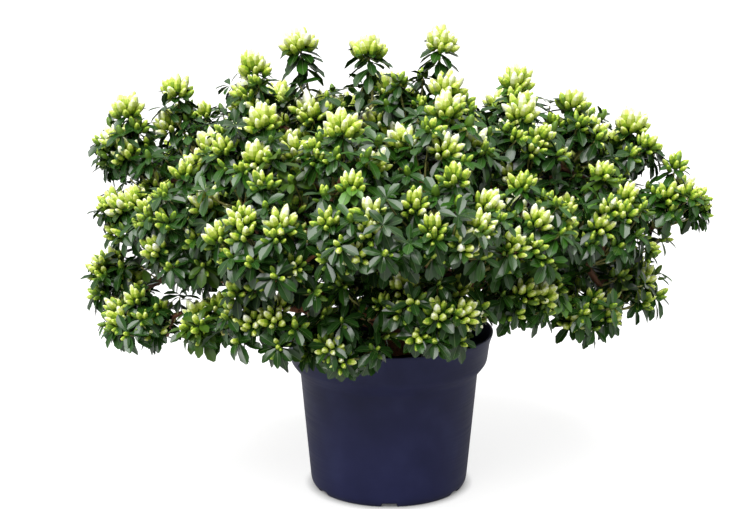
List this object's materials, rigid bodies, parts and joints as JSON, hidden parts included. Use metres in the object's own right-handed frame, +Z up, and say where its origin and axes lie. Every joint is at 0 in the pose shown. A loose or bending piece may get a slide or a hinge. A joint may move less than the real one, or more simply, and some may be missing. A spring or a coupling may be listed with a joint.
{
  "type": "potted evergreen azalea shrub",
  "caption": "Broad, low-domed evergreen azalea in bud, with twiggy boughs and leafy foliage masses, growing in a round tapered nursery pot.",
  "frame": {"origin": "centre of the pot's underside, on the ground the pot stands on", "axes": "+Z up; -Y is the front of the plant; +X is to its right as seen from the front, along the crown's greatest width"},
  "size_m": [0.7833, 0.6947, 0.579],
  "materials": {
    "pot_plastic": "satin",
    "compost": "matte",
    "bark": "matte",
    "foliage": "satin"
  },
  "bodies": {
    "root": {"bough_back_left": "bark", "bough_back_right": "bark", "bough_front_left": "bark", "bough_front_right": "bark", "bough_left": "bark", "bough_left_high": "bark", "bough_left_sweep": "bark", "bough_right": "bark", "bough_right_high": "bark", "bough_right_sweep": "bark", "compost": "compost", "foliage_high_back": "foliage", "foliage_high_far_left": "foliage", "foliage_high_far_right": "foliage", "foliage_high_front": "foliage", "foliage_high_front_left": "foliage", "foliage_high_front_right": "foliage", "foliage_high_left": "foliage", "foliage_high_left_back": "foliage", "foliage_high_left_inner": "foliage", "foliage_high_right": "foliage", "foliage_high_right_back": "foliage", "foliage_high_right_front": "foliage", "foliage_low_back_left": "foliage", "foliage_low_back_right": "foliage", "foliage_low_far_left": "foliage", "foliage_low_far_right": "foliage", "foliage_low_front": "foliage", "foliage_low_front_left": "foliage", "foliage_low_front_right": "foliage", "foliage_low_left": "foliage", "foliage_low_left_back": "foliage", "foliage_low_left_front": "foliage", "foliage_low_right": "foliage", "foliage_low_right_back": "foliage", "foliage_low_right_front": "foliage", "foliage_middle_back_left": "foliage", "foliage_middle_back_right": "foliage", "foliage_middle_far_right": "foliage", "foliage_middle_front": "foliage", "foliage_middle_front_left": "foliage", "foliage_middle_front_right": "foliage", "foliage_middle_left": "foliage", "foliage_middle_left_back": "foliage", "foliage_middle_left_front": "foliage", "foliage_middle_right": "foliage", "foliage_middle_right_back": "foliage", "foliage_middle_right_front": "foliage", "foliage_tip_centre": "foliage", "foliage_tip_left": "foliage", "foliage_tip_right": "foliage", "foliage_top_centre": "foliage", "foliage_top_centre_left": "foliage", "foliage_top_centre_right": "foliage", "foliage_top_left": "foliage", "foliage_top_right": "foliage", "leader_left": "bark", "leader_right": "bark", "pot": "pot_plastic", "stock": "bark"}
  },
  "joints": []
}
